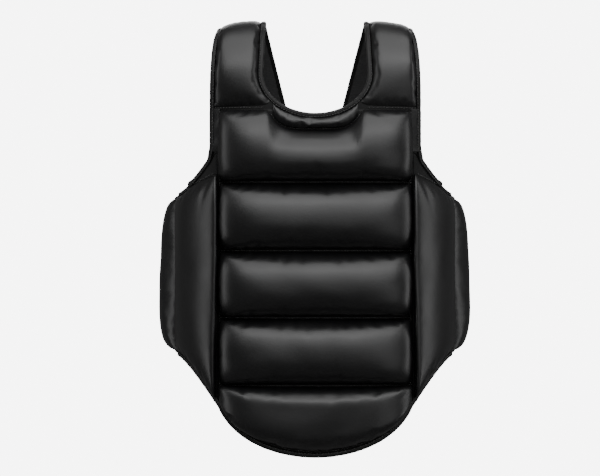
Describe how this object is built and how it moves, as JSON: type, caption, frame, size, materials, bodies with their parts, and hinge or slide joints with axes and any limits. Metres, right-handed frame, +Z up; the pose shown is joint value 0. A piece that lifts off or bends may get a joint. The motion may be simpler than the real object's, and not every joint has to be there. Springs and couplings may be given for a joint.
{
  "type": "martial arts chest protector",
  "caption": "Padded chest protector: a ribbed bib front with shoulder pads, wrap-round side wings, and a back yoke that elastic hook-and-loop belts close on.",
  "frame": {"origin": "on the flat inner face of the front lining, where the wearer's breastbone rests, half way up the object", "axes": "the wearer faces -Y, +Y runs from the chest to the back, +X to the wearer's left, +Z up"},
  "size_m": [0.4402, 0.253, 0.6],
  "materials": {
    "leather": "smooth synthetic leather, soft satin shine, puckered along the seams",
    "binding_tape": "folded woven edge tape, matte",
    "lining_mesh": "dull knitted lining",
    "foam": "soft closed-cell foam",
    "elastic": "ribbed woven elastic",
    "hook_and_loop": "hook and loop pile"
  },
  "bodies": {
    "front": {"rib_cover_1": "leather", "rib_foam_1": "foam", "rib_cover_2": "leather", "rib_foam_2": "foam", "rib_cover_3": "leather", "rib_foam_3": "foam", "rib_cover_4": "leather", "rib_foam_4": "foam", "rib_cover_5": "leather", "rib_foam_5": "foam", "collar_cover": "leather", "collar_foam": "foam", "front_lining": "lining_mesh", "hem_binding": "binding_tape", "neck_binding": "binding_tape", "left_shoulder_cover": "leather", "left_side_strip": "leather", "left_shoulder_foam": "foam", "left_shoulder_lining": "lining_mesh", "left_armhole_binding": "binding_tape", "right_shoulder_cover": "leather", "right_side_strip": "leather", "right_shoulder_foam": "foam", "right_shoulder_lining": "lining_mesh", "right_armhole_binding": "binding_tape"},
    "left_wing": {"left_wing_cover": "leather", "left_wing_foam": "foam", "left_wing_lining": "lining_mesh", "left_wing_top_binding": "binding_tape", "left_wing_low_binding": "binding_tape"},
    "left_rear": {"left_rear_cover": "leather", "left_rear_foam": "foam", "left_rear_lining": "lining_mesh"},
    "left_belt": {"left_elastic_belt": "elastic", "left_hook_tab": "hook_and_loop"},
    "yoke": {"left_strap_cover": "leather", "left_strap_lining": "lining_mesh", "left_strap_binding": "binding_tape", "right_strap_cover": "leather", "right_strap_lining": "lining_mesh", "right_strap_binding": "binding_tape", "back_panel_cover": "leather", "back_panel_foam": "foam", "back_panel_lining": "lining_mesh", "loop_patch": "hook_and_loop", "back_neck_binding": "binding_tape"},
    "right_wing": {"right_wing_cover": "leather", "right_wing_foam": "foam", "right_wing_lining": "lining_mesh", "right_wing_top_binding": "binding_tape", "right_wing_low_binding": "binding_tape"},
    "right_rear": {"right_rear_cover": "leather", "right_rear_foam": "foam", "right_rear_lining": "lining_mesh"},
    "right_belt": {"right_elastic_belt": "elastic", "right_hook_tab": "hook_and_loop"}
  },
  "joints": [
    {"name": "left_wing_seam", "type": "hinge", "parent": "front", "child": "left_wing", "pos_m": [0.13156, 0.01318, 0], "axis": [0, 0, -1], "range_deg": [0, 40]},
    {"name": "left_wing_crease", "type": "hinge", "parent": "left_wing", "child": "left_rear", "pos_m": [0.19013, 0.07716, 0], "axis": [0, 0, -1], "range_deg": [0, 40]},
    {"name": "left_belt_seam", "type": "hinge", "parent": "left_rear", "child": "left_belt", "pos_m": [0.18362, 0.18357, -0.045], "axis": [0, 0, -1], "range_deg": [0, 90]},
    {"name": "right_wing_seam", "type": "hinge", "parent": "front", "child": "right_wing", "pos_m": [-0.13156, 0.01318, 0], "axis": [0, 0, 1], "range_deg": [0, 40]},
    {"name": "right_wing_crease", "type": "hinge", "parent": "right_wing", "child": "right_rear", "pos_m": [-0.19013, 0.07716, 0], "axis": [0, 0, 1], "range_deg": [0, 40]},
    {"name": "right_belt_seam", "type": "hinge", "parent": "right_rear", "child": "right_belt", "pos_m": [-0.18362, 0.18357, -0.045], "axis": [0, 0, 1], "range_deg": [0, 90]},
    {"name": "shoulder_seams", "type": "hinge", "parent": "front", "child": "yoke", "pos_m": [0, 0.066, 0.281], "axis": [-1, 0, 0], "range_deg": [0, 25]}
  ]
}
